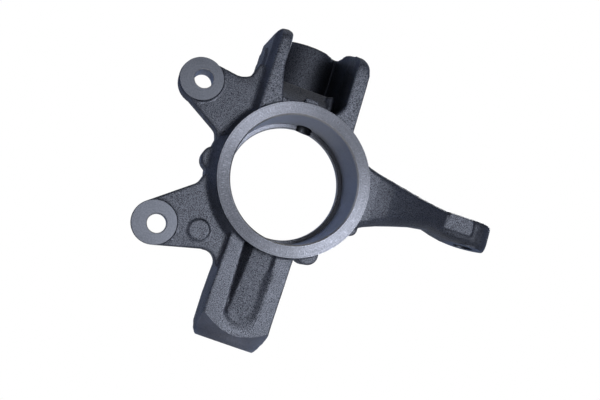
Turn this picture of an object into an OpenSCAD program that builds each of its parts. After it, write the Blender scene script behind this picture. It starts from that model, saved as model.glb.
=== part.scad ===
// Steering knuckle, one sand casting with machined seats and faces.
// X runs along the car towards the steering arm, Y inboard along the wheel
// bearing axis, Z up towards the strut. Depths are measured inboard from the
// machined face of the hub ring, and the origin is the middle of the bearing seat.

/* [Hub ring] */
// Diameter of the wheel bearing seat
bearing_d = 82; // [76:0.5:86]
// Depth of the bearing seat behind the machined face
seat_depth = 36; // [32:0.5:40]
// Radial width of the machined face round the seat
face_w = 8.3; // [6.5:0.1:11]
// Height of the shoulder that the bearing stops against
shoulder_h = 2.7; // [1.5:0.1:4]
// Thickness of that shoulder
shoulder_t = 3.5; // [3:0.5:6]
// Radius that the rough ring gains on the caliper side, behind its front collar
flare = 5.7; // [4:0.1:8]
// Radius that the ring gains under the upper caliper ear
flare_ear = 3.4; // [2:0.1:6]

/* [Brake caliper ears] */
// Distance of the two bolt holes from the bearing axis
caliper_x = 72.6; // [69:0.2:78]
// Height of the upper bolt hole above the bearing axis
caliper_up = 43.7; // [40:0.1:48]
// Drop of the lower bolt hole below the bearing axis
caliper_down = 51.2; // [47:0.1:55]
// Diameter of a caliper bolt hole
caliper_hole_d = 12; // [10:0.1:15]
// Diameter of a machined boss face
caliper_boss_d = 27.4; // [25:0.2:30]
// Depth of the boss faces behind the ring face
caliper_face = 10; // [8:0.5:13]
// Thickness of an ear through its boss
caliper_t = 16; // [13:0.5:19]
// Height of a boss face above its rough web
boss_rise = 2.4; // [1:0.1:4]

/* [Strut clamp] */
// Diameter of the bore for the strut tube
strut_d = 45; // [41:0.5:48]
// Wall of the clamp round that bore
clamp_wall = 7; // [6:0.5:9]
// Depth of the strut axis behind the ring face
strut_y = 79.5; // [76:0.5:84]
// Height of the top of the clamp above the bearing axis
clamp_top = 102.5; // [98:0.5:106]
// Height of the clamp
clamp_h = 46; // [42:1:50]
// Width of the slit that lets the clamp close
slit_w = 4; // [2:0.5:6]
// Diameter of the pinch bolt hole
pinch_d = 12.2; // [10:0.1:14]
// Thickness of each pinch ear beside the slit
pinch_t = 12; // [10:0.5:15]

/* [Clamp ribs] */
// Clear width between the two ribs that carry the clamp
rib_gap = 46; // [42:0.5:50]
// Thickness of the rib on the caliper side, along its front edge
rib_t = 8.4; // [7:0.1:11]
// Thickness of the rib on the arm side
rib_wide = 10; // [8:0.1:12]
// Depth of the ribs' front edges behind the ring face
rib_front = 4.5; // [3:0.5:8]
// Height of the ribs' front ends above the bearing axis
rib_top = 92.5; // [89:0.5:96]
// Height of the ledge on the ring between the ribs
ledge_top = 62.5; // [58:0.5:65]
// Diameter of the wheel speed sensor bore through the ledge
sensor_d = 11; // [8:0.5:13]

/* [Ball joint lug] */
// Drop of the lug's machined end below the bearing axis
lug_drop = 112.0; // [108:0.2:116]
// Width of the lug across its front rails
lug_w = 44; // [41:0.5:48]
// Depth of the rails' front face behind the ring face
lug_front = 6.5; // [5:0.5:9]
// Depth of the lug's back behind the ring face
lug_back = 45; // [42:0.5:48]
// Diameter of the lug's turned end
lug_end_d = 40.4; // [38:0.5:43]
// Diameter of the bore for the ball joint's housing
joint_d = 30; // [27:0.5:32]
// Depth of that bore from the turned end
joint_depth = 20; // [16:0.5:21]
// Width of the sunken panel between the rails
panel_w = 21; // [18:0.5:24]
// Depth of the sunken panel's middle below the rails
panel_sink = 3.4; // [2:0.1:5]
// Lean of the panel, which is deeper on its left
panel_lean = 7; // [0:1:12]

/* [Steering arm] */
// Distance of the tie rod hole from the bearing axis
tie_x = 144.3; // [138:0.1:147]
// Depth of the tie rod hole behind the ring face
tie_y = 47; // [44:0.5:49]
// Small diameter of the tapered tie rod hole, at its top
tie_d = 12.4; // [11:0.1:13.5]
// Height of the arm's end
eye_h = 19.7; // [17:0.5:21]
// Level of the arm's machined underside above the bearing axis
eye_low = -0.9; // [-3:0.2:2]
// Width of the arm's round end across the tie rod hole
eye_w = 32; // [29:0.5:35]

/* [Hidden] */
$fn = 96;

cast_grey = [0.36, 0.38, 0.41];

// Hub ring
bore_r = bearing_d / 2;
collar_r = bore_r + face_w;
ring_r = collar_r + flare;
ring_depth = seat_depth + shoulder_t;
lip_r = bore_r - shoulder_h;
collar_depth = 3;
flare_depth = 14;
edge = 0.8;
ear_root_z = 14;

// The lug, the clamp and the ribs are placed from this line
centre_x = -8.2;
strut_x = centre_x + 2.2;
caster = 3.5;
inclination = 6;

// Clamp
clamp_r = strut_d / 2 + clamp_wall;
clamp_low = clamp_top - clamp_h;
clamp_mid = clamp_top - clamp_h / 2;
pinch_y = strut_y + clamp_r + pinch_d / 2 + 1.5;
pinch_r = pinch_d / 2 + 7;

// Ribs: their inner and outer faces at the front
rib_mid_x = centre_x + 4;
left_in = rib_mid_x - rib_gap / 2;
left_out = left_in - rib_t;
right_in = rib_mid_x + rib_gap / 2;
right_out = right_in + rib_wide;
// Outer face of the left rib behind its slanted flank, and of the body behind it
left_side = left_out - 2.6;
body_out = left_out - 4.2;
body_top = rib_top - 4.5;
// Level inside the ring where both ribs start
rib_foot = 32;
ledge_front = 15;
ledge_end = right_in - 7;

// Caliper ears, whose rough outlines are not quite round their bosses
boss_r = caliper_boss_d / 2;
upper_hole = [-caliper_x, caliper_up];
lower_hole = [-caliper_x, -caliper_down];
upper_boss = upper_hole + [-1.2, -0.4];
lower_boss = lower_hole + [-1.6, 0.1];
upper_ear = upper_hole + [-1.5, -0.6];
lower_ear = lower_hole + [-1.9, 0.1];
ear_r = boss_r + 0.3;
web_front = caliper_face + boss_rise;
web_back = caliper_face + caliper_t;

// Lug
lug_left = centre_x - lug_w / 2;
lug_right = centre_x + lug_w / 2;
lug_mid_y = (lug_front + lug_back) / 2 + 2.2;
// Height of the turned band at the lug's end, and of the cone above it
end_band = 7.4;
end_cone = 22.6;
// Panel: slope of its walls, its right wall's turn, its floor's dive towards the ring,
// and the groove's own start, dive, lean and slope
wall_slope = 0.35;
panel_turn = 1.5;
panel_dive = 2.5;
groove_start = 2.8;
groove_dive = 9;
groove_lean = 1;
groove_slope = 1;

// Steering arm
eye_top = eye_low + eye_h;
eye_r = eye_w / 2;
eye_front = tie_y - eye_r;
eye_back = tie_y + eye_r;
tie_taper = 10;
quarter = 90;
corner_steps = 4;

// Drawn in X and Z, then given its depth along Y
module slab(y0, y1) {
    translate([0, y1, 0]) rotate([90, 0, 0]) linear_extrude(y1 - y0) children();
}

// Drawn in Y and Z, then given its width along X
module side(x0, x1) {
    translate([x0, 0, 0]) rotate([90, 0, 90]) linear_extrude(x1 - x0) children();
}

// A round bar or hole along Y
module bar_y(r, y0, y1) {
    translate([0, y0, 0]) rotate([-90, 0, 0]) cylinder(r = r, h = y1 - y0);
}

// A square-cornered patch with a round bite out of it, for a concave fillet
module bitten(points, centre, r) {
    difference() {
        polygon(points);
        translate(centre) circle(r);
    }
}

// Rough ring, with a flare on the caliper side behind the narrow front collar
module ring() {
    body_r = collar_r + 0.5;
    rotate([-90, 0, 0]) rotate_extrude()
        polygon([[lip_r - 1, 0], [collar_r - edge, 0], [collar_r, edge],
            [collar_r, collar_depth], [body_r, collar_depth + 4],
            [body_r, ring_depth - 2], [body_r - 2, ring_depth], [lip_r - 1, ring_depth]]);
    flank(ring_r, -2 * ring_r);
    flank(collar_r + flare_ear, ear_root_z);
}

// Flared flank of the ring on the caliper side, above a level or up to the next one
module flank(r, low) {
    high = low < 0 ? ear_root_z : 2 * r;
    intersection() {
        rotate([-90, 0, 0]) rotate_extrude()
            polygon([[bore_r, collar_depth], [collar_r - 0.1, collar_depth], [r, flare_depth],
                [r, ring_depth - 3], [r - 2, ring_depth - 1], [bore_r, ring_depth - 1]]);
        translate([left_in + 1 - 2 * r, 0, low]) cube([2 * r, ring_depth, high - low]);
    }
}

// Cast nubs on the ring's rim, where a dust shield is held
module nubs() {
    // Side, then below, then under the steering arm: angle, distance and radius
    for (nub = [[182, ring_r - 3.4, 7.8], [-59.5, collar_r - 1.2, 7.4], [-20, collar_r + 1, 5]])
        rotate([0, -nub[0], 0]) translate([nub[1], 0, 0])
            bar_y(nub[2], flare_depth - 1, flare_depth + 17);
}

// Ear webs as seen along Y: round end, straight sides, and fillets at the roots
module upper_ear_outline() {
    root = left_out - 8;
    translate(upper_ear) circle(ear_r);
    polygon([upper_ear, upper_ear + 13.6 * [0.168, 0.986], [root - 14.6, 54.6], [root - 10, 53.9],
        [root - 7, 54], [root - 4, 55], [root - 1.6, 56.4], [root - 0.4, 58.4], [root, 61],
        [root + 2, 66], [left_out + 6, 66], [left_out + 6, 12], [-45, 4], [-53.6, 8],
        [-54.4, 12], [-55.6, 15.4], [-57.6, 17.2], upper_ear - 13.4 * [0.532, 0.847]]);
}

module lower_ear_outline() {
    bite = [lug_left - 8.4, -caliper_down - 14.6];
    translate(lower_ear) circle(ear_r);
    polygon([lower_ear, lower_ear + 14 * [-0.6, 0.8], [-57.4, -20.2], [-55.6, -17.6], [-54.4, -13.6],
        [-45, -8], [lug_left + 3, -38], [lug_left + 3, bite[1] + 7.8], bite + [-1.7, 7.8],
        lower_ear + 14 * [0.213, -0.977]]);
    bitten([bite + [-1.75, 7.3], [-45, -45], [lug_left + 3, -45], [lug_left + 3, bite[1]],
        bite], bite, 7.5);
}

// Both caliper ears: rough webs, and round bosses that stand above them
module caliper_ears() {
    slab(web_front, web_back) upper_ear_outline();
    slab(web_front, web_back) lower_ear_outline();
    for (boss = [upper_boss, lower_boss])
        translate([boss[0], 0, boss[1]]) bar_y(boss_r, caliper_face, web_back - 1);
    // Round cast pad on the lower web
    translate([-46.8, 0, -47.6]) bar_y(6.4, web_front - 0.9, web_back - 2);
}

// Side view of the ribs: upright front edge, rounded top corner, and an
// underside that climbs from the back of the ring to the clamp
module rib_side() {
    corner = 8;
    translate([rib_front + corner, rib_top + 0.9 - corner]) circle(corner);
    polygon([
        [rib_front, rib_foot], [rib_front, rib_top - corner], [rib_front + corner, rib_top - corner - 1],
        [rib_front + corner - 0.5, rib_top + 0.8], [rib_front + corner - 0.5, clamp_top],
        [strut_y, clamp_top], [strut_y, clamp_low + 3],
        [strut_y - 18, clamp_low + 1], [ring_depth - 4, 40], [ring_depth - 8, rib_foot]]);
}

// A rib's head, rounded on top and rising inboard to the clamp at a slope
module rib_head(slope) {
    translate([0, rib_front, rib_top]) rotate([slope, 0, 0])
        translate([0, -rib_front, -rib_top]) slab(rib_front - 12, strut_y - 10) children();
}

// The ribs cut across: a slanted flank on the left, an inner face into the barrel on the right
module left_section(more = 0) {
    polygon([[left_out + 1.4, rib_front - 1], [left_in + more, rib_front - 1], [left_in + 1.5, 52],
        [left_in + 1.5, strut_y + 1], [left_side, strut_y + 1], [left_side, web_front]]);
}

module right_section() {
    polygon([[right_in, rib_front - 1], [right_out, rib_front - 1], [right_out, 58],
        [strut_x + clamp_r - 1, strut_y - 1], [strut_x + clamp_r - 9, strut_y - 1],
        [right_in - 4, 58], [right_in, 34]]);
}

// The two ribs that carry the clamp, thicker towards it
module ribs() {
    // Left rib: a front strip with a rounded head
    intersection() {
        union() {
            translate([0, 0, rib_foot]) linear_extrude(rib_top - 8 - rib_foot) left_section();
            intersection() {
                rib_head(7) {
                    translate([left_in - 3.9, rib_top - 3.5]) circle(4.3);
                    polygon([[left_in, rib_top - 40], [left_in, rib_top - 16],
                        [left_in + 0.4, rib_top - 7], [left_in + 0.4, rib_top - 3.5],
                        [left_in - 3.9, rib_top - 4], [left_in - 4.4, rib_top + 0.6],
                        [left_out + 0.8, rib_top + 0.2], [left_out - 1, rib_top - 1.8],
                        [left_side - 1, rib_top - 5.2], [left_side - 1, rib_top - 40]]);
                }
                translate([0, 0, rib_foot]) linear_extrude(rib_top) left_section(0.4);
            }
        }
        side(left_out - 5, left_in + 5) rib_side();
    }
    // The thick body behind a shallow valley beside that strip
    intersection() {
        translate([0, 0, rib_foot]) linear_extrude(rib_top - 7 - rib_foot) polygon([
            [left_in - 1, 14], [left_side + 0.4, 18], [body_out, 26], [body_out, strut_y - 22],
            [strut_x - clamp_r + 1, strut_y - 1], [left_in, strut_y - 1]]);
        side(left_out - 20, left_in + 5) polygon([
            [12, 40], [12, body_top - 18], [26, body_top - 9.4], [33, body_top - 4],
            [42, body_top - 0.6], [strut_y, body_top],
            [strut_y, clamp_low + 3.5], [strut_y - 18, clamp_low + 1.5], [ring_depth - 4, 41]]);
    }
    // Right rib
    intersection() {
        union() {
            translate([0, 0, rib_foot]) linear_extrude(rib_top - 17 - rib_foot) right_section();
            intersection() {
                rib_head(18) {
                    translate([right_out - 9.1, rib_top - 10]) circle(8.9);
                    polygon([[right_in - 9, rib_top - 40], [right_in - 9, rib_top - 17],
                        [right_in - 6.3, rib_top - 11], [right_in - 2.4, rib_top - 5.2],
                        [right_in, rib_top - 1], [right_out - 9.1, rib_top - 1.1],
                        [right_out - 0.2, rib_top - 10], [right_out, rib_top - 40]]);
                }
                translate([0, 0, rib_foot]) linear_extrude(rib_top) right_section();
            }
        }
        side(right_in - 20, right_out + 5) rib_side();
    }
}

// Feet that spread the front edges of the ribs onto the ring
module rib_feet() {
    slab(rib_front, ledge_front + 14) {
        polygon([[left_in - 4, ledge_top + 7.5], [left_in, ledge_top + 7.5],
            [left_in + 1.6, ledge_top - 1.5], [left_in + 5.2, ledge_top - 15],
            [left_in + 5, rib_foot + 6], [left_out + 3, rib_foot + 4], [left_out + 3, ledge_top - 6]]);
        bitten([[right_in + 5, ledge_top + 3.5], [right_in + 0.4, ledge_top + 1.5],
            [right_in - 12, ledge_top - 13.5], [right_in - 12, rib_foot + 10],
            [right_in, rib_foot + 4], [right_out - 1, rib_foot + 4], [right_out, ledge_top - 2.5]],
            [right_in - 17.2, ledge_top], 18);
    }
}

// Ledge on the ring between the ribs, with the sensor pad in front of it
module ledge() {
    side(left_in - 2, ledge_end - 3) polygon([
        [ledge_front - 5, 36], [ledge_front - 5, ledge_top - 12.5], [ledge_front + 4, ledge_top],
        [strut_y - clamp_r + 6, ledge_top], [strut_y - clamp_r + 6, 36]]);
    // Its upright end
    slab(ledge_front, strut_y - clamp_r + 6) polygon([
        [ledge_end - 5, 36], [ledge_end - 4.4, ledge_top - 1], [ledge_end, ledge_top + 0.6],
        [ledge_end + 1.5, 50], [ledge_end + 1.5, 36]]);
    slab(collar_depth, ledge_front + 1) polygon([
        [strut_x - 2.4, collar_r - 6], [strut_x - 2.2, collar_r + 3.4],
        [strut_x + 6.6, collar_r + 3.8], [strut_x + 7.4, collar_r - 6]]);
    // Low floor beside the ledge
    slab(flare_depth, strut_y - clamp_r + 5) polygon([
        [ledge_end, 37], [ledge_end, collar_r + 2], [right_in + 1, collar_r], [right_in + 1, 37]]);
}

// Split collar for the strut tube, with two pinch ears on the inboard side
module clamp() {
    translate([strut_x, strut_y, clamp_low]) cylinder(r = clamp_r, h = clamp_h);
    half = slit_w / 2 + pinch_t;
    side(strut_x - half, strut_x + half) {
        translate([pinch_y, clamp_mid]) circle(pinch_r);
        polygon([
            [strut_y, clamp_top - 4], [strut_y + clamp_r - 3, clamp_top - 4],
            [pinch_y + pinch_r * cos(50), clamp_mid + pinch_r * sin(50)],
            [pinch_y + pinch_r * cos(50), clamp_mid - pinch_r * sin(50)],
            [strut_y + clamp_r - 3, clamp_low + 4], [strut_y, clamp_low + 4]]);
    }
}

// Trunk of the ball joint lug, cut to its turned end
module lug() {
    r = lug_end_d / 2;
    waist = 17 - lug_drop;
    intersection() {
        slab(lug_front, lug_back) polygon([
            [lug_left + 2.2, -collar_r + 7], [lug_left + 0.3, waist + 11], [lug_left + 0.5, waist],
            [lug_left, -lug_drop - 6], [lug_right + 1, -lug_drop - 6], [lug_right - 0.1, waist],
            [lug_right + 1.4, -collar_r + 7]]);
        translate([centre_x - 0.3, lug_mid_y, -lug_drop]) rotate([-inclination, caster, 0])
            rotate_extrude() polygon([[0, 0], [r - 1, 0], [r, 0.8], [r + 1.2, end_band / 2],
                [r + 2.1, end_band], [r + 2.1 + 1.15 * end_cone, end_band + end_cone],
                [r + 2.1 + 1.15 * end_cone, lug_drop], [0, lug_drop]]);
    }
}

// Sunken panel between the rails with a round lower end, and the groove on its left,
// which has a slanted wall and runs out above that end
module panel_cut() {
    w = panel_w / 2;
    round_r = w - 1.8;
    end_z = 15 - lug_drop + round_r;
    rise = 3 - collar_r - end_z;
    floor_y = lug_front + panel_sink;
    depth = panel_sink + 3;
    translate([centre_x + 1, floor_y - 1.2, end_z]) {
        rotate([-panel_dive, 0, -panel_lean]) {
            rotate([90, 0, 0]) rotate_extrude() polygon([[0, 0], [round_r, 0],
                [round_r + wall_slope * depth, depth], [0, depth]]);
            rotate([0, panel_turn, 0]) linear_extrude(rise) polygon([[1 - w, 0], [round_r, 0],
                [round_r + 0.6 * depth, -depth], [1 - w, -depth]]);
        }
        translate([0.4 - w, groove_start, -1.6]) rotate([-groove_dive, -groove_lean, 0]) linear_extrude(rise + 2)
            polygon([[0, 0], [0, -1.2 * w], [1.2 * w * groove_slope, -1.2 * w]]);
    }
}

// Corner-rounded rectangle in Y and Z: the lower front edge has the larger radius
function section(x, front, back, low, high, r_top, r_low) =
    let (ys = [back - r_top, back - r_top, front + r_top, front + r_low],
         zs = [low + r_top, high - r_top, high - r_top, low + r_low],
         rs = [r_top, r_top, r_top, r_low])
    [for (k = [0:3]) for (i = [0:corner_steps])
        let (a = (k - 1 + i / corner_steps) * quarter)
        [x, ys[k] + rs[k] * cos(a), zs[k] + rs[k] * sin(a)]];

// A section of the arm's round end, at an angle round the tie rod hole
function end_section(a) = section(tie_x + eye_r * sin(a), tie_y - eye_r * cos(a),
    tie_y + eye_r * cos(a), eye_low, eye_top, min(3, 0.9 * eye_r * cos(a)),
    min(6, 0.9 * eye_r * cos(a)));

// Skin over a row of sections with the same number of points
module loft(rows) {
    n = len(rows[0]);
    m = len(rows);
    points = [for (row = rows) for (p = row) p];
    sides = [for (j = [0:m - 2]) for (i = [0:n - 1])
        let (k = (i + 1) % n) each [
            [j * n + i, (j + 1) * n + i, j * n + k],
            [j * n + k, (j + 1) * n + i, (j + 1) * n + k]]];
    first = [for (i = [0:n - 1]) i];
    last = [for (i = [n - 1:-1:0]) (m - 1) * n + i];
    polyhedron(points = points, faces = concat([first], sides, [last]), convexity = 4);
}

// Steering arm: leaves the ring broad and flat, then turns inboard to its round end
module arm() {
    root = collar_r - 6;
    span = tie_x - 20 - collar_r;
    at = collar_r;
    loft([
        section(root, 9, 34, -21, 27.4, 3, 6),
        section(at, 8.8, 34.4, -17, 25, 3, 6),
        section(at + 0.09 * span, 9.4, 34.6, -13.6, 23.4, 3, 6),
        section(at + 0.26 * span, 11.7, 35.4, -8.8, 22.2, 3.4, 7),
        section(at + 0.42 * span, 16.2, 37, -5.2, 20.9, 4, 7.5),
        section(at + 0.60 * span, eye_front - 9.8, eye_back - 22, eye_low - 0.5, eye_top + 0.9, 4, 8),
        section(at + 0.78 * span, eye_front - 4.6, eye_back - 15, eye_low + 2, eye_top + 0.2, 4, 8),
        section(at + 0.93 * span, eye_front - 0.2, eye_back - 7, eye_low + 1.1, eye_top - 0.2, 3.6, 7),
        section(tie_x - 14, eye_front, eye_back - 3, eye_low, eye_top, 3, 6),
        for (a = [0, 20, 36, 50, 62, 73, 82]) end_section(a)]);
    // Flat pad on the front of the round end
    slab(eye_front - 0.7, eye_front + 3) polygon([
        [tie_x - 24.8, eye_low + 7], [tie_x - 23.6, eye_top - 2], [tie_x - 22, eye_top - 1.2],
        [tie_x - 6.6, eye_top - 1], [tie_x - 4.2, eye_top - 3], [tie_x - 3.8, eye_low + 8.6],
        [tie_x - 5.6, eye_low + 7]]);
}

// Everything as it leaves the mould
module rough_casting() {
    ring();
    nubs();
    caliper_ears();
    ribs();
    rib_feet();
    ledge();
    clamp();
    lug();
    arm();
}

// Everything that the machine shop takes away
module machining() {
    // Bearing seat with its lead-in, the opening in the shoulder, and the way through
    // behind it
    bar_y(bore_r, -1, seat_depth);
    bar_y(lip_r, -1, ring_depth + 1);
    rotate([-90, 0, 0]) translate([0, 0, -1])
        cylinder(r1 = bore_r + edge + 1, r2 = bore_r - 0.001, h = edge + 1);
    bar_y(bore_r + 1.5, ring_depth, ring_depth + 30);
    // Caliper bolt holes
    for (hole = [upper_hole, lower_hole])
        translate([hole[0], 0, hole[1]]) bar_y(caliper_hole_d / 2, caliper_face - 1, web_back + 1);
    // Strut bore, slit and pinch bolt hole
    translate([strut_x, strut_y, clamp_mid])
        cylinder(r = strut_d / 2, h = 3 * clamp_h, center = true);
    translate([strut_x - slit_w / 2, strut_y, clamp_low - 1])
        cube([slit_w, 2 * clamp_r, clamp_h + 2]);
    translate([strut_x, pinch_y, clamp_mid]) rotate([0, 90, 0])
        cylinder(r = pinch_d / 2, h = 2 * clamp_r, center = true);
    // Wheel speed sensor bore, down through the ledge and the ring's shoulder
    translate([centre_x + 10.7, seat_depth - 1, lip_r - 4])
        cylinder(r = sensor_d / 2, h = ledge_top - lip_r + 10);
    // Ball joint bore, square to the turned end
    translate([centre_x - 0.3, lug_mid_y, -lug_drop]) rotate([-inclination, caster, 0])
        translate([0, 0, -1]) cylinder(r = joint_d / 2, h = joint_depth + 1);
    // Tapered tie rod hole, wide below
    translate([tie_x, tie_y, eye_low - 1])
        cylinder(r1 = (tie_d + (eye_h + 1) / tie_taper) / 2, r2 = (tie_d - 1 / tie_taper) / 2,
            h = eye_h + 2);
}

module knuckle_casting() {
    color(cast_grey)
        translate([0, -seat_depth / 2, 0])
            difference() {
                rough_casting();
                panel_cut();
                machining();
            }
}

knuckle_casting();
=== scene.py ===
# %% [markdown]
# # Steering knuckle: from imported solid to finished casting
# The CAD solid has every main form and every hole in its true place, but its
# corners are knife sharp and its skin is perfect. A real knuckle leaves a sand
# mould with soft corners and a grainy skin, and the machine shop then cuts a
# few crisp, bright faces into it. This lesson follows that same order: pour the
# casting, soften it, machine it, and give each surface its own finish.

# %% Start: load the frame
import math

import bmesh
import bpy
from mathutils import Matrix, Vector


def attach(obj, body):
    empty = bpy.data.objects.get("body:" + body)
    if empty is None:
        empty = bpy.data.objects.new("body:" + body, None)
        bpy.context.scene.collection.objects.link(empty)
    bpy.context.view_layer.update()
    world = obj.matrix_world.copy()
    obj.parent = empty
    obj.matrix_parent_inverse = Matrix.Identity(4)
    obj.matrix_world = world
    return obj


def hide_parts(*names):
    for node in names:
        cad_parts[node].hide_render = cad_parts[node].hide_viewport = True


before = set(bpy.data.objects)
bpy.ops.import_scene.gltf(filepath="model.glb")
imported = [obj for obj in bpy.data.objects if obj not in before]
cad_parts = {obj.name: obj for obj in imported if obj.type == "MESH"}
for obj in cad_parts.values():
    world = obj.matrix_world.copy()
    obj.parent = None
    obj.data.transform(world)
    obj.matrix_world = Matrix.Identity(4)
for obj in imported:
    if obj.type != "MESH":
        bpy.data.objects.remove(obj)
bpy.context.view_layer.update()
MM = 0.001

# %% [markdown]
# ## Camera
# The eye stands a little below the hub and to its left, and looks up along the
# wheel axis with a slight roll, so that the ribs above lean to the right. Its
# turn could be three angles, but two directions, right and up, are easier to
# fit to a picture, and the third is square to both.

# %% Camera
LENS, FILM_WIDTH = 40.74, 36
EYE_PLACE = (-0.0822, -0.4308, -0.0637)
camera_data = bpy.data.cameras.new("studio_camera")
camera_data.lens = LENS
camera_data.sensor_width = FILM_WIDTH
camera = bpy.data.objects.new("studio_camera", camera_data)
bpy.context.scene.collection.objects.link(camera)
camera_right = Vector((0.9286, -0.2358, 0.2865))
camera_up = Vector((-0.3069, -0.0543, 0.9502))
camera_back = camera_right.cross(camera_up).normalized()
camera_up = camera_back.cross(camera_right).normalized()
camera_turn = Matrix((camera_right, camera_up, camera_back)).transposed().to_4x4()
camera.matrix_world = Matrix.Translation(EYE_PLACE) @ camera_turn
bpy.context.scene.camera = camera
print("camera looks along", [round(-v, 3) for v in camera_back])

# %% [markdown]
# ## World
# The ground of the picture is white, but a white room would wash the dark iron
# out. So the world is white only where it is seen or mirrored, and dim where it
# fills the shadows. It is the first graph of nodes here, so the helper that
# writes a node, its settings and its links in one call comes with it.

# %% World
SKY_FILL = 0.2


def node(tree, kind, inputs=None, **settings):
    """Adds a node: settings are its own, inputs are values or sockets to link."""
    made = tree.nodes.new(kind)
    for key, value in settings.items():
        setattr(made, key, value)
    for key, value in (inputs or {}).items():
        if isinstance(value, bpy.types.NodeSocket):
            tree.links.new(value, made.inputs[key])
        else:
            made.inputs[key].default_value = value
    return made


world = bpy.data.worlds.new("studio_world")
bpy.context.scene.world = world
world.use_nodes = True
sky = world.node_tree
sky.nodes.clear()
rays = node(sky, "ShaderNodeLightPath").outputs
seen = node(sky, "ShaderNodeMath", {0: rays["Is Camera Ray"], 1: rays["Is Transmission Ray"]},
            operation="MAXIMUM").outputs[0]
mirrored = node(sky, "ShaderNodeMath", {0: seen, 1: rays["Is Glossy Ray"]}, operation="MAXIMUM").outputs[0]
dim, white = [node(sky, "ShaderNodeBackground", {"Color": (1, 1, 1, 1), "Strength": strength}).outputs[0]
              for strength in (SKY_FILL, 1.0)]
pick = node(sky, "ShaderNodeMixShader", {"Fac": mirrored, 1: dim, 2: white})
node(sky, "ShaderNodeOutputWorld", {"Surface": pick.outputs[0]})
bpy.context.scene.view_settings.view_transform = "Standard"
print("world:", len(sky.nodes), "nodes, fill", SKY_FILL)

# %% [markdown]
# ## Lamps
# One soft box stands to the right of the eye, so faces that look between the two
# are the lightest and the flanks fall off fast. A weak one near the eye opens
# the deepest shadows. One at the left and one at the right rear hardly show from
# the front, but give the sides and the back their forms in other views.

# %% Lamps
HUB = Vector((0, 0, 0))
LAMPS = {  # place and side in metres, power in watts
    "key_box": ((0.45, -1.11, 0.0), 0.4, 12),
    "fill_box": ((-0.1, -1.25, 0.1), 0.6, 1.8),
    "side_box": ((-1.1, -0.55, 0.15), 0.5, 1.6),
    "back_box": ((0.9, 1.0, 0.6), 0.6, 13),
}
for lamp_name, (lamp_place, side_length, watts) in LAMPS.items():
    lamp_data = bpy.data.lights.new(lamp_name, "AREA")
    lamp_data.shape = "SQUARE"
    lamp_data.size = side_length
    lamp_data.energy = watts
    lamp = bpy.data.objects.new(lamp_name, lamp_data)
    lamp.location = lamp_place
    lamp.rotation_euler = (HUB - Vector(lamp_place)).to_track_quat("-Z", "Y").to_euler()
    bpy.context.scene.collection.objects.link(lamp)
    print(lamp_name, watts, "W,", round((HUB - Vector(lamp_place)).length, 2), "m from the hub")

# %% [markdown]
# ## Floor
# The floor is a pale disc well below the part. Its paint has a faint mottle, and
# what the eye sees of it is mixed with white, so that it joins the white ground
# while the lamps and the metal still meet plain paint.

# %% Floor
FLOOR_Z, FLOOR_R, FLOOR_STEPS = -0.4, 0.75, 96
FLOOR_WHITE = 0.7
MOTTLE_SCALE, MOTTLE_DARK = 6, 0.98


def shade_of(tree, factor, dark, light):
    """A colour between dark and light."""
    ramp = node(tree, "ShaderNodeValToRGB", {"Fac": factor})
    ramp.color_ramp.elements[0].color = (*dark, 1)
    ramp.color_ramp.elements[1].color = (*light, 1)
    return ramp.outputs["Color"]


def plain_material(name, colour, rough):
    """A paint-like finish with a faint mottle."""
    made = bpy.data.materials.new(name)
    made.use_nodes = True
    tree = made.node_tree
    across = node(tree, "ShaderNodeTexCoord").outputs["Object"]
    mottle = node(tree, "ShaderNodeTexNoise", {"Vector": across, "Scale": MOTTLE_SCALE}).outputs["Fac"]
    paint = tree.nodes["Principled BSDF"].inputs
    paint["Roughness"].default_value = rough
    tree.links.new(shade_of(tree, mottle, [c * MOTTLE_DARK for c in colour], colour), paint["Base Color"])
    return made


def pale_to_the_eye(material, share):
    """Mixes white into what the eye sees of a material; lamps and mirrors still meet the paint."""
    tree = material.node_tree
    eye_rays = node(tree, "ShaderNodeLightPath").outputs["Is Camera Ray"]
    amount = node(tree, "ShaderNodeMath", {0: eye_rays, 1: share}, operation="MULTIPLY").outputs[0]
    glow = node(tree, "ShaderNodeEmission").outputs[0]
    both = node(tree, "ShaderNodeMixShader", {
        "Fac": amount, 1: tree.nodes["Principled BSDF"].outputs[0], 2: glow})
    tree.links.new(both.outputs[0], tree.nodes["Material Output"].inputs["Surface"])


def to_object(bm, name):
    """Links the bmesh to the scene as an object."""
    mesh = bpy.data.meshes.new(name)
    bm.to_mesh(mesh)
    bm.free()
    obj = bpy.data.objects.new(name, mesh)
    bpy.context.scene.collection.objects.link(obj)
    return obj


def stage_object(bm, name, material):
    """An object that is part of the studio, and not of the casting."""
    obj = to_object(bm, name)
    obj.data.materials.append(material)
    return obj


floor_paint = plain_material("floor_paint", (0.9, 0.9, 0.9), 0.7)
pale_to_the_eye(floor_paint, FLOOR_WHITE)
disc = bmesh.new()
bmesh.ops.create_circle(disc, cap_ends=True, segments=FLOOR_STEPS, radius=FLOOR_R,
                        matrix=Matrix.Translation((0, 0, FLOOR_Z)))
stage_object(disc, "floor", floor_paint)
print("floor: radius", FLOOR_R, "m at", FLOOR_Z, "m")

# %% [markdown]
# ## Cloths
# Metal shows the room that it stands in, and the flanks of this casting mirror a
# dim one. So a black cloth hangs behind the eye, and a pale blue one stands
# round the sides and the back, as photographers hang them for metal. The eye
# itself sees neither of them.

# %% Cloths
CURTAIN_Y, CURTAIN_HALF = -1.5, 4.0
TENT_MIDDLE, TENT_SIZE = (0, 0, 0.7), (3.2, 2.9, 4.4)
CLOTH_ROUGH = 0.9

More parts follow.
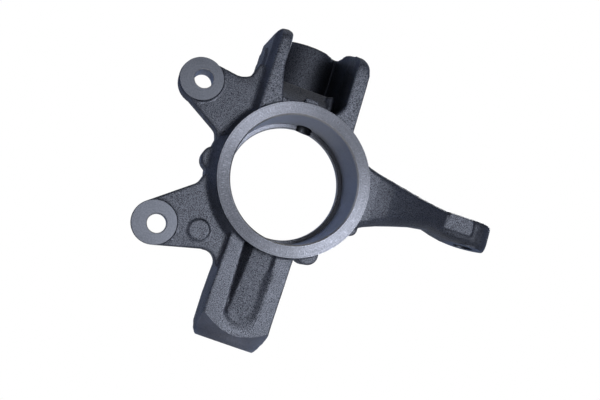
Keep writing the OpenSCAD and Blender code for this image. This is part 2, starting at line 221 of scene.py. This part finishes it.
sheet = bmesh.new()
bmesh.ops.create_grid(sheet, x_segments=1, y_segments=1, size=CURTAIN_HALF,
                      matrix=Matrix.Translation((0, CURTAIN_Y, 0)) @ Matrix.Rotation(-math.pi / 2, 4, "X"))
curtain = stage_object(sheet, "curtain", plain_material("black_cloth", (0.02, 0.02, 0.02), CLOTH_ROUGH))
tent_box = bmesh.new()
bmesh.ops.create_cube(tent_box, size=1, matrix=Matrix.Translation(TENT_MIDDLE) @ Matrix.Diagonal((*TENT_SIZE, 1)))
open_sides = [f for f in tent_box.faces if f.normal.y < -0.5 or abs(f.normal.z) > 0.5]
bmesh.ops.delete(tent_box, geom=open_sides, context="FACES")
tent = stage_object(tent_box, "tent", plain_material("pale_cloth", (0.62, 0.7, 0.9), CLOTH_ROUGH))
for cloth in (curtain, tent):
    cloth.visible_camera = False
    print(cloth.name, "has", len(cloth.data.polygons), "faces")

# %% [markdown]
# ## Sizes
# These repeat the named sizes of the part's source, in millimetres, but for one:
# LUG_END lies 1.25 mm further back than the source's turned end. Y is zero in
# the middle of the bearing seat, and the ring's machined face is 18 mm ahead of it.

# %% Sizes
FACE_Y, SHOULDER_Y, BACK_Y = -18.0, 18.0, 21.5
SEAT_R, RIM_R, OPENING_R = 41.0, 49.3, 38.3
EAR_HOLES = {"upper": (-72.6, 43.7), "lower": (-72.6, -51.2)}
EAR_BOSSES = {"upper": (-73.8, 43.3), "lower": (-74.2, -51.1)}
BOSS_R, HOLE_R = 13.7, 6.0
BOSS_Y, EAR_BACK_Y = -8.0, 8.0
STRUT_X, STRUT_Y, STRUT_R = -6.0, 61.5, 22.5
CLAMP_LOW, CLAMP_TOP = 56.5, 102.5
PINCH_Y, PINCH_Z, PINCH_R = 98.6, 79.5, 6.1
PINCH_OUT = 14.0
SENSOR_X, SENSOR_Y, SENSOR_R = 2.5, 17.0, 5.5
LEDGE_LOW, LEDGE_TOP = 37.6, 62.5
TIE_X, TIE_Y = 144.3, 29.0
TAPER_WIDE_R, TAPER_NARROW_R = 7.2, 6.2
EYE_LOW, EYE_TOP = -0.9, 18.8
JOINT_R, JOINT_DEPTH = 15.0, 20.0
LUG_LEFT, LUG_RIGHT, LUG_FRONT_Y, LUG_BACK_Y = -30.2, 13.8, -11.5, 27.0
LUG_END, LUG_LEAN, LUG_DIVE = (-8.5, 11.2, -112), 3.5, -6
print("seat", 2 * SEAT_R, "mm wide and", SHOULDER_Y - FACE_Y, "mm deep")

# %% [markdown]
# ## Turned bodies and blocks
# Most tools in a machine shop turn, so most plugs and cutters here are spun from
# half a profile: pairs of radius and height, from the axis out and back to the
# axis. A cylinder with loop cuts would do too, but a spun profile holds every
# chamfer in one list.

# %% Turned bodies and blocks
STEPS, RING_STEPS, HOLE_STEPS = 128, 192, 64
WELD = 1e-6


def spun(bm, profile, matrix, segments=STEPS, material=0, end_material=None):
    """Adds a closed turned body to bm: profile is (radius, height) in mm, matrix places its axis.

    Faces square to the axis take end_material where it is given.
    """
    made = bmesh.new()
    points = [made.verts.new((r * MM, 0, h * MM)) for r, h in profile]
    edges = [made.edges.new(pair) for pair in zip(points, points[1:])]
    bmesh.ops.spin(made, geom=points + edges, cent=(0, 0, 0), axis=(0, 0, 1), dvec=(0, 0, 0),
                   angle=math.tau, steps=segments, use_merge=True, use_duplicate=False)
    bmesh.ops.remove_doubles(made, verts=made.verts[:], dist=WELD)
    bmesh.ops.recalc_face_normals(made, faces=made.faces[:])
    for face in made.faces:
        square = end_material is not None and abs(face.normal.z) > 0.99
        face.material_index = end_material if square else material
        face.smooth = True
    bmesh.ops.transform(made, matrix=matrix, verts=made.verts[:])
    carrier = bpy.data.meshes.new("spun")
    made.to_mesh(carrier)
    made.free()
    bm.from_mesh(carrier)
    bpy.data.meshes.remove(carrier)


def rod(radius, low, high):
    """The profile of a plain cylinder."""
    return [(0, low), (radius, low), (radius, high), (0, high)]


def block(bm, low, high, material=0):
    """Adds a box between two corners in mm."""
    size = [(b - a) * MM for a, b in zip(low, high)]
    middle = [(a + b) / 2 * MM for a, b in zip(low, high)]
    matrix = Matrix.Translation(middle) @ Matrix.Diagonal((*size, 1))
    made = bmesh.ops.create_cube(bm, size=1, matrix=matrix)
    for face in {f for v in made["verts"] for f in v.link_faces}:
        face.material_index = material


def along_y(x, z):
    """Places a turned body's axis along Y, inboard, through x and z in mm."""
    return Matrix.Translation((x * MM, 0, z * MM)) @ Matrix.Rotation(-math.pi / 2, 4, "X")


def along_z(x, y):
    """Places it along Z, upward."""
    return Matrix.Translation((x * MM, y * MM, 0))


def along_x(y, z):
    """Places it along X, to the right."""
    return Matrix.Translation((0, y * MM, z * MM)) @ Matrix.Rotation(math.pi / 2, 4, "Y")


print("turned bodies get", HOLE_STEPS, "to", RING_STEPS, "steps")

# %% [markdown]
# ## The rough casting
# A founder adds stock where the machinist will cut: the ring's face and the
# bosses stand proud, and no hole is cast. So the copy of the solid is filled
# with plugs. Each plug bites into the metal round it, and stops shy of the far
# side, where the solid's own face stays the outer one. The slit's filler and the
# foot of the sensor's plug reach past the metal, and 1 mm of them is left standing
# after the cuts.

# %% Copy of the solid, with its holes filled
STOCK, BITE, SHY = 3, 1, 0.2
SLIT_FILL_HALF, CLAMP_CORNER = 3, 4.3
PINCH_BITE = 7
EYE_STOCK_R, EYE_PLUG_R = 14, 9
LUG_STOCK, LUG_CORNER_STOCK = (-118, -98.5), (-100, -84)

cad_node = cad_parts["knuckle_casting"]
rough = bmesh.new()
rough.from_mesh(cad_node.data)
bmesh.ops.remove_doubles(rough, verts=rough.verts[:], dist=WELD)
open_edges = sum(not e.is_manifold for e in rough.edges)
print("merged copy:", len(rough.faces), "faces,", open_edges, "open edges")

spun(rough, [(0, FACE_Y - STOCK), (RIM_R, FACE_Y - STOCK), (RIM_R, FACE_Y + STOCK), (SEAT_R + BITE, FACE_Y + STOCK),
             (SEAT_R + BITE, BACK_Y - SHY), (0, BACK_Y - SHY)], along_y(0, 0))
for side in EAR_HOLES:
    spun(rough, rod(BOSS_R, BOSS_Y - STOCK, BOSS_Y + STOCK), along_y(*EAR_BOSSES[side]))
    spun(rough, rod(HOLE_R + BITE, BOSS_Y, EAR_BACK_Y - SHY), along_y(*EAR_HOLES[side]))
spun(rough, rod(STRUT_R + BITE, CLAMP_LOW + SHY, CLAMP_TOP - SHY), along_z(STRUT_X, STRUT_Y))
block(rough, (STRUT_X - SLIT_FILL_HALF, STRUT_Y + 20, CLAMP_LOW + CLAMP_CORNER),
      (STRUT_X + SLIT_FILL_HALF, PINCH_Y + PINCH_BITE, CLAMP_TOP - CLAMP_CORNER))
spun(rough, rod(PINCH_R + PINCH_BITE, STRUT_X - PINCH_OUT + SHY, STRUT_X + PINCH_OUT - SHY),
     along_x(PINCH_Y, PINCH_Z))
spun(rough, rod(SENSOR_R + BITE, LEDGE_LOW, LEDGE_TOP - SHY), along_z(SENSOR_X, SENSOR_Y))
block(rough, (LUG_LEFT + 0.3, LUG_FRONT_Y, LUG_STOCK[0]), (LUG_RIGHT + 0.2, LUG_BACK_Y, LUG_STOCK[1]))
for left, right in ((LUG_LEFT + 0.3, -22), (5, LUG_RIGHT - 0.1)):
    block(rough, (left, LUG_FRONT_Y, LUG_CORNER_STOCK[0]), (right, LUG_BACK_Y, LUG_CORNER_STOCK[1]))
spun(rough, [(0, EYE_LOW - STOCK), (EYE_STOCK_R, EYE_LOW - STOCK), (EYE_STOCK_R, EYE_LOW + STOCK),
             (EYE_PLUG_R, EYE_LOW + STOCK), (EYE_PLUG_R, EYE_TOP - SHY), (0, EYE_TOP - SHY)],
     along_z(TIE_X, TIE_Y))
print("with plugs and stock:", len(rough.faces), "faces")

# %% [markdown]
# ## Even skin
# The solid and its plugs overlap, and their faces are long triangles that can't
# bend. A voxel remesh joins them into one even skin, and a few rounds of
# smoothing then round every corner as moulding sand does. A bevel can't do
# this, because it fails where many short edges meet.

# %% Even skin
VOXEL = 0.65 * MM
SAND_PULL, SAND_ROUNDS = 0.5, 5


def apply_modifiers(obj):
    """Gives obj the mesh that its modifiers make, and removes them."""
    shown = obj.evaluated_get(bpy.context.evaluated_depsgraph_get())
    mesh = bpy.data.meshes.new_from_object(shown)
    old = obj.data
    obj.modifiers.clear()
    obj.data = mesh
    bpy.data.meshes.remove(old)


casting = to_object(rough, "knuckle")
skin = casting.modifiers.new("skin", "REMESH")
skin.mode = "VOXEL"
skin.voxel_size = VOXEL
sand = casting.modifiers.new("sand_corners", "SMOOTH")
sand.factor = SAND_PULL
sand.iterations = SAND_ROUNDS
apply_modifiers(casting)
print("skin:", len(casting.data.polygons), "faces")

# %% [markdown]
# ## Corners where the sand crumbled
# In some places the mould gave way and left a wider round: the lower end of the
# sunken panel, the heads of the ribs, the root of the arm. A vertex group marks
# each place, fullest at its middle, and a Smooth modifier works on it alone.
# Decimate then takes the small faces out that flat walls don't need.

# %% Corners where the sand crumbled
KEPT_SHARE = 0.42
SOFT_SPOTS = {  # centres and reach in mm, and rounds of smoothing
    "panel_end": ([(-8.5, -10, -97)], 12, 200),
    "panel_wall": ([(4.5, -10, -64), (4, -10, -70), (3, -10, -76), (2, -10, -82), (1, -10, -88),
                    (0, -10, -93)], 5, 60),
    "ear_pad": ([(-47, -4, -54)], 9, 16),
    "rib_heads": ([(-33, -10, 89), (-38, -3, 84), (-28, -11, 88), (24, -11, 88), (19, 9, 96),
                   (14, 36, 102), (18.7, -7, 92.5), (18.7, 16, 99.5)], 8, 60),
    "clamp_corner": ([(14, 40, 100), (13.5, 39.5, 94), (13, 39, 88), (14, 40, 81), (14.6, 40.4, 76)], 5, 60),
    "ledge_end": ([(13, -3, 60)], 7, 20),
    "arm_root": ([(69, -6, 19), (68.5, -6, 9), (68.5, -6, -1), (68.5, -6, -10)], 12, 90),
}


def crumble(name, centres, reach, rounds):
    """Smooths the skin within reach of the centres, most at the middle, and counts its points."""
    group = casting.vertex_groups.new(name=name)
    near = {}
    for v in casting.data.vertices:
        away = min((v.co / MM - Vector(c)).length for c in centres) / reach
        if away < 1:
            near[v.index] = 1 - away ** 4
    for index, weight in near.items():
        group.add([index], weight, "REPLACE")
    step = casting.modifiers.new(name, "SMOOTH")
    step.vertex_group = name
    step.factor = SAND_PULL
    step.iterations = rounds
    return len(near)


for spot_name, spot in SOFT_SPOTS.items():
    print("softened", spot_name, crumble(spot_name, *spot), "points")
thin = casting.modifiers.new("fewer_faces", "DECIMATE")
thin.ratio = KEPT_SHARE
apply_modifiers(casting)
casting.vertex_groups.clear()
print("after thinning:", len(casting.data.polygons), "faces")

# %% [markdown]
# ## Finishes
# The casting has one skin and nine kinds of machined face, and each is a
# material slot. Their nodes come later, but the slots come before the cutting,
# because a cutter leaves its own slot on the faces that it makes.

# %% Finishes
FINISHES = ("cast_skin", "turned_face", "bored_seat", "upper_boss", "lower_boss", "clamp_bore",
            "pinch_hole", "sensor_bore", "lug_end", "eye_face")
CAST, RING, BORE, UPPER, LOWER, CLAMP, PINCH, SENSOR, LUG, EYE = range(len(FINISHES))
for finish_name in FINISHES:
    casting.data.materials.append(bpy.data.materials.new(finish_name))
print("skin is slot", CAST, "and the last finish is slot", EYE)

# %% [markdown]
# ## Machining the ring and the ears
# Each cutter is a turned body, and a Boolean takes it away. The exact solver
# would work too, but the manifold one is far faster on a closed skin and keeps
# the cutter's materials, so a machined face is told from the cast skin by the
# same step that makes it. The ring is faced first, and then its bearing seat is
# bored, with a chamfer at its mouth and a shoulder at its end.

# %% Machining the ring and the ears
CLEAR, RUN_OUT = 20, 3
MOUTH_CHAMFER, SHOULDER_CHAMFER = 0.9, 0.4
RING_FACER_R, BOSS_FACER_R = 60, 17


def cut_with(bm):
    """Takes the bmesh out of the casting; its faces bring their material along."""
    tool = to_object(bm, "cutter")
    for m in casting.data.materials:
        tool.data.materials.append(m)
    step = casting.modifiers.new("cut", "BOOLEAN")
    step.operation = "DIFFERENCE"
    step.object = tool
    step.solver = "MANIFOLD"
    step.material_mode = "TRANSFER"
    apply_modifiers(casting)
    mesh = tool.data
    bpy.data.objects.remove(tool)
    bpy.data.meshes.remove(mesh)


def cut(tool_profile, axis_place, material, segments=STEPS, end_material=None):
    """Takes a turned cutter out of the casting."""
    bm = bmesh.new()
    spun(bm, tool_profile, axis_place, segments, material, end_material)
    cut_with(bm)


cut(rod(RING_FACER_R, FACE_Y - CLEAR, FACE_Y), along_y(0, 0), RING, RING_STEPS)
cut([(0, FACE_Y - 5), (SEAT_R + MOUTH_CHAMFER + 5, FACE_Y - 5), (SEAT_R, FACE_Y + MOUTH_CHAMFER),
     (SEAT_R, SHOULDER_Y), (OPENING_R + SHOULDER_CHAMFER, SHOULDER_Y), (OPENING_R, SHOULDER_Y + SHOULDER_CHAMFER),
     (OPENING_R, BACK_Y + RUN_OUT), (0, BACK_Y + RUN_OUT)], along_y(0, 0), BORE, RING_STEPS, RING)
for side, boss in (("upper", UPPER), ("lower", LOWER)):
    cut(rod(BOSS_FACER_R, BOSS_Y - CLEAR, BOSS_Y), along_y(*EAR_BOSSES[side]), boss)
    cut([(0, BOSS_Y - 3), (HOLE_R + 3.4, BOSS_Y - 3), (HOLE_R, BOSS_Y + 0.4), (HOLE_R, EAR_BACK_Y - 0.5),
         (HOLE_R + 4, EAR_BACK_Y + 3.5), (0, EAR_BACK_Y + 3.5)], along_y(*EAR_HOLES[side]), BORE, HOLE_STEPS)
print("ring and ears machined:", len(casting.data.polygons), "faces")

# %% [markdown]
# ## Machining the clamp and the sensor's bore
# The strut clamp is bored along Z, sawn open behind, and drilled across for its
# pinch bolt. The sensor's bore goes down through the ledge into the bearing seat.

# %% Machining the clamp and the sensor's bore
SLIT_HALF, SAW_OVER = 2, 5
cut([(0, CLAMP_LOW - 30), (STRUT_R + 1, CLAMP_LOW - 30), (STRUT_R + 1, CLAMP_LOW), (STRUT_R, CLAMP_LOW + 1),
     (STRUT_R, CLAMP_TOP - 1), (STRUT_R + 6, CLAMP_TOP + 5), (0, CLAMP_TOP + 5)],
    along_z(STRUT_X, STRUT_Y), CLAMP)
slit = bmesh.new()
block(slit, (STRUT_X - SLIT_HALF, STRUT_Y, CLAMP_LOW - SAW_OVER),
      (STRUT_X + SLIT_HALF, PINCH_Y + 30, CLAMP_TOP + SAW_OVER), CLAMP)
cut_with(slit)
cut(rod(PINCH_R, STRUT_X - 40, STRUT_X + 40), along_x(PINCH_Y, PINCH_Z), PINCH, HOLE_STEPS)
cut(rod(SENSOR_R, 30, LEDGE_TOP + 10), along_z(SENSOR_X, SENSOR_Y), SENSOR, HOLE_STEPS)
print("clamp and sensor bore machined:", len(casting.data.polygons), "faces")

# %% [markdown]
# ## Machining the lug and the arm's eye
# The lug's end is turned about the ball joint's leaning axis: a wide cone that
# takes the corners off, a rounded rim, and a bore meant to be blind. It breaks
# out through the lug's back, where the solid's wall is thin and LUG_END is too far
# back. The arm's eye is faced from below and reamed to a taper for the tie rod's
# stud.

# %% Machining the lug and the arm's eye
LUG_PLACE = Matrix.Translation([v * MM for v in LUG_END]) @ (
    Matrix.Rotation(math.radians(LUG_LEAN), 4, "Y") @ Matrix.Rotation(math.radians(LUG_DIVE), 4, "X"))
LUG_CONE = [(60, 37.5), (31.6, 13.3), (23.0, 5.8), (21.8, 3.2), (20.2, 0.8), (19.2, 0)]
JOINT_CHAMFER = 0.8
EYE_FACER_R, REAMER_OVER = 24, 0.5
cut([(0, -CLEAR), (60, -CLEAR), *LUG_CONE, (JOINT_R + JOINT_CHAMFER, 0), (JOINT_R, JOINT_CHAMFER),
     (JOINT_R, JOINT_DEPTH), (0, JOINT_DEPTH)], LUG_PLACE, LUG)
cut([(0, EYE_LOW - CLEAR), (EYE_FACER_R, EYE_LOW - CLEAR), (EYE_FACER_R, EYE_LOW), (TAPER_WIDE_R, EYE_LOW),
     (TAPER_NARROW_R, EYE_TOP + REAMER_OVER), (0, EYE_TOP + REAMER_OVER)], along_z(TIE_X, TIE_Y), EYE)
counts = {}
for p in casting.data.polygons:
    name = FINISHES[p.material_index]
    counts[name] = counts.get(name, 0) + 1
print("faces by finish:", counts)

# %% [markdown]
# ## Shading
# The cast skin is one flowing surface, but a machined face meets it at a crisp
# edge. So all faces are shaded smooth, and edges that turn more than about a
# third of a right angle are marked sharp.

# %% Shading
SHARP_ANGLE = 32
casting.data.shade_smooth()
casting.data.set_sharp_from_angle(angle=math.radians(SHARP_ANGLE))
print("sharp from", SHARP_ANGLE, "degrees")

# %% [markdown]
# ## Patterns
# A finish is a small graph: patterns read Object coordinates, so they stay on
# the metal when it is turned, and lead to colour, roughness and bump. These
# helpers each stand for one step of such a graph.

# %% Patterns
def place(tree, centre=(0, 0, 0), turn=(0, 0, 0)):
    """Object coordinates, counted from centre in mm; turn brings the cut's own axis to Z."""
    coordinates = node(tree, "ShaderNodeTexCoord")
    shift = node(tree, "ShaderNodeMapping", {
        "Vector": coordinates.outputs["Object"], "Location": [-c * MM for c in centre]})
    return node(tree, "ShaderNodeMapping", {
        "Vector": shift.outputs[0], "Rotation": [math.radians(a) for a in turn]}).outputs[0]


def noise_of(tree, vector, size, detail=2.0, rough=0.5):
    """Noise with bumps about size mm across."""
    return node(tree, "ShaderNodeTexNoise", {
        "Vector": vector, "Scale": 1 / (size * MM), "Detail": detail, "Roughness": rough}).outputs["Fac"]


def rings_of(tree, path, size, detail):
    """Noise along one direction only, with rings about size mm apart."""
    return node(tree, "ShaderNodeTexNoise", {
        "W": path, "Scale": 1 / (size * MM), "Detail": detail}, noise_dimensions="1D").outputs["Fac"]


def spread(tree, value, low, high, start=0.3, end=0.7):
    """Maps a pattern's start and end to low and high."""
    return node(tree, "ShaderNodeMapRange", {
        "Value": value, "From Min": start, "From Max": end, "To Min": low, "To Max": high}).outputs[0]


def bumped(tree, height, distance, strength=1.0, under=None):
    """Bump up to distance mm high, on top of another one where it is given."""
    inputs = {"Height": height, "Distance": distance * MM, "Strength": strength}
    if under is not None:
        inputs["Normal"] = under
    return node(tree, "ShaderNodeBump", inputs).outputs[0]


def product(tree, a, b):
    """One pattern times another."""
    return node(tree, "ShaderNodeMath", {0: a, 1: b}, operation="MULTIPLY").outputs[0]


def total(tree, a, b):
    """One pattern plus another."""
    return node(tree, "ShaderNodeMath", {0: a, 1: b}, operation="ADD").outputs[0]


def finish_tree(name):
    """The node tree and shader of one of the casting's materials."""
    material = bpy.data.materials[name]
    material.use_nodes = True
    return material.node_tree, material.node_tree.nodes["Principled BSDF"]


print("finishes to paint:", len(FINISHES))

# %% [markdown]
# ## Cast skin
# Iron that has left green sand is dark grey, with grains under a millimetre
# across, wider blotches where the sand lay looser, and a dull metallic glint.
# Painted shade darkens the skin further inboard, the ledge between the ribs
# and the arm, and a painted highlight lightens the pad at the arm's end. They
# scale the glint as well as the colour. Each of these is a soft mask along an axis, in metres.

# %% Cast skin
SKIN_DARK, SKIN_LIGHT = (0.006, 0.007, 0.011), (0.034, 0.038, 0.05)
tree, shader = finish_tree("cast_skin")
where = place(tree)
grain = noise_of(tree, where, 0.55, 2.0, 0.75)
lumps = noise_of(tree, where, 2.6, 3.0)
blotch = noise_of(tree, where, 18, 3.0)
tone = total(tree, spread(tree, blotch, 0.15, 0.5), spread(tree, grain, -0.65, 1.05))

x, y, z = [node(tree, "ShaderNodeSeparateXYZ", {0: where}).outputs[axis] for axis in "XYZ"]
# painted shade: skin further inboard, in the pocket between the ribs, is darker
painted_shade_inboard = spread(tree, y, 0.92, 0.46, -0.013, 0.004)
# painted shade: the arm's skin is darker
painted_shade_arm = spread(tree, x, 1.0, 0.8, 0.05, 0.075)
# painted shadow: the ledge between the ribs is darker
painted_shadow_ledge = product(tree, spread(tree, z, 0.0, 1.0, 0.047, 0.052), spread(tree, y, 0.0, 1.0, -0.007, -0.003))
painted_shadow_ledge = product(tree, painted_shadow_ledge, spread(tree, y, 1.0, 0.0, 0.012, 0.02))
# painted highlight: the pad at the arm's end is lighter
painted_highlight_pad = product(tree, spread(tree, x, 0.0, 0.33, 0.117, 0.12), spread(tree, y, 1.0, 0.0, 0.0124, 0.0129))
# the painted shade and highlight scale the skin's tone and its glint
painted_light_and_shade = product(tree, product(tree, painted_shade_inboard, painted_shade_arm), spread(tree, painted_shadow_ledge, 1.0, 0.4, 0.0, 1.0))
painted_light_and_shade = total(tree, painted_light_and_shade, painted_highlight_pad)

tree.links.new(shade_of(tree, product(tree, tone, painted_light_and_shade), SKIN_DARK, SKIN_LIGHT), shader.inputs["Base Color"])
tree.links.new(spread(tree, lumps, 0.38, 0.46), shader.inputs["Roughness"])
glint = product(tree, spread(tree, grain, -0.25, 1.8), painted_light_and_shade)
tree.links.new(glint, shader.inputs["Specular IOR Level"])
shader.inputs["IOR"].default_value = 2.6
shader.inputs["Specular Tint"].default_value = (0.185, 0.2, 0.243, 1)
fine = bumped(tree, grain, 0.16)
tree.links.new(bumped(tree, lumps, 0.1, 0.6, fine), shader.inputs["Normal"])
print("cast skin:", len(tree.nodes), "nodes")

# %% [markdown]
# ## Turned and bored faces
# A lathe tool leaves fine rings round its own centre, so each machined face
# gets the same finish with its own centre and axis. Noise that changes only
# along radius and depth makes rings on a flat face and in a bore alike. Iron
# that is turned also stretches a glint across its rings: on the ring's face
# this is a fan of light, which Anisotropic gives once it knows the way outward.

# %% Turned and bored faces
def nicks_and_painted_light(tree, polish, flat, radius):
    """Short light strokes along the rings, and painted light on the rim, brighter at the top."""
    level = node(tree, "ShaderNodeSeparateXYZ", {0: flat}).outputs
    round_it = node(tree, "ShaderNodeMath", {0: level["Y"], 1: level["X"]}, operation="ARCTAN2").outputs[0]
    polar = node(tree, "ShaderNodeCombineXYZ", {0: product(tree, round_it, 90.0), 1: product(tree, radius, 250.0)})
    strokes = node(tree, "ShaderNodeTexNoise", {"Vector": polar.outputs[0], "Scale": 1.0, "Detail": 1.0})
    # nicks, and painted light that brightens the top of the rim
    nicks_and_painted_top_light = total(tree, spread(tree, strokes.outputs["Fac"], 0.0, 0.6, 0.62, 0.72),
                 spread(tree, level["Y"], 0.15, -0.03, -0.04, 0.005))
    return total(tree, product(tree, polish, 0.5), nicks_and_painted_top_light)


def turned_finish(name, centre, turn, shades, rough=(0.42, 0.49), across=0.3, fan=0.0):
    """Lathe rings about an axis through centre in mm, which turn brings to Z; shades are dark and light.

    Where fan is given, the face is square to Y, its glint stretches outward, and it has nicks and painted light.
    """
    tree, shader = finish_tree(name)
    where = place(tree, centre, turn)
    flat = node(tree, "ShaderNodeVectorMath", {0: where, 1: (1, 1, 0)}, operation="MULTIPLY").outputs[0]
    radius = node(tree, "ShaderNodeVectorMath", {0: flat}, operation="LENGTH").outputs["Value"]
    path = total(tree, radius, node(tree, "ShaderNodeSeparateXYZ", {0: where}).outputs["Z"])
    fine_rings = rings_of(tree, path, across, 2.0)
    wide_rings = rings_of(tree, path, 2.2, 1.0)
    smear = noise_of(tree, where, 14, 3.0)
    fleck = noise_of(tree, where, 0.9)
    polish = product(tree, spread(tree, fine_rings, 0.6, 1.1), spread(tree, smear, 0.55, 1.0))
    polish = total(tree, polish, spread(tree, fleck, -0.35, 0.4))
    if fan:
        polish = nicks_and_painted_light(tree, polish, flat, radius)
        outward = node(tree, "ShaderNodeVectorMath", {0: place(tree, centre), 1: (1, 0, 1)}, operation="MULTIPLY")
        tree.links.new(outward.outputs[0], shader.inputs["Tangent"])
        shader.inputs["Anisotropic"].default_value = fan
    tree.links.new(shade_of(tree, polish, *shades), shader.inputs["Base Color"])
    tree.links.new(spread(tree, smear, *rough), shader.inputs["Roughness"])
    shader.inputs["Metallic"].default_value = 1.0
    shader.inputs["Specular Tint"].default_value = (0.8, 0.87, 1.0, 1)
    low = bumped(tree, wide_rings, 0.05, 0.35)
    tree.links.new(bumped(tree, fine_rings, 0.03, 0.35, low), shader.inputs["Normal"])
    print(name, "has", len(tree.nodes), "nodes")


Y_TO_Z, X_TO_Z, Z_STAYS = (90, 0, 0), (0, -90, 0), (0, 0, 0)
FACED = ((0.052, 0.057, 0.07), (0.086, 0.093, 0.113))
turned_finish("turned_face", (0, 0, 0), Y_TO_Z, ((0.035, 0.038, 0.046), (0.15, 0.159, 0.192)),
              rough=(0.35, 0.39), across=0.7, fan=0.8)
turned_finish("bored_seat", (0, 0, 0), Y_TO_Z, ((0.22, 0.216, 0.224), (0.31, 0.31, 0.318)))
for side, gain in (("upper", 1.35), ("lower", 1.45)):
    boss_x, boss_z = EAR_BOSSES[side]
    turned_finish(side + "_boss", (boss_x, 0, boss_z), Y_TO_Z, [[c * gain for c in shade] for shade in FACED],
                  across=0.5)
turned_finish("clamp_bore", (STRUT_X, STRUT_Y, 0), Z_STAYS, FACED)
turned_finish("pinch_hole", (0, PINCH_Y, PINCH_Z), X_TO_Z, FACED)
turned_finish("sensor_bore", (SENSOR_X, SENSOR_Y, 0), Z_STAYS, FACED)
turned_finish("lug_end", LUG_END, (-LUG_DIVE, -LUG_LEAN, 0), ((0.078, 0.083, 0.104), (0.117, 0.125, 0.156)))
turned_finish("eye_face", (TIE_X, TIE_Y, 0), Z_STAYS, FACED)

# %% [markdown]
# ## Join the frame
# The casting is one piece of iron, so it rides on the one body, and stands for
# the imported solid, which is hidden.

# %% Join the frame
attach(casting, "root")
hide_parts("knuckle_casting")
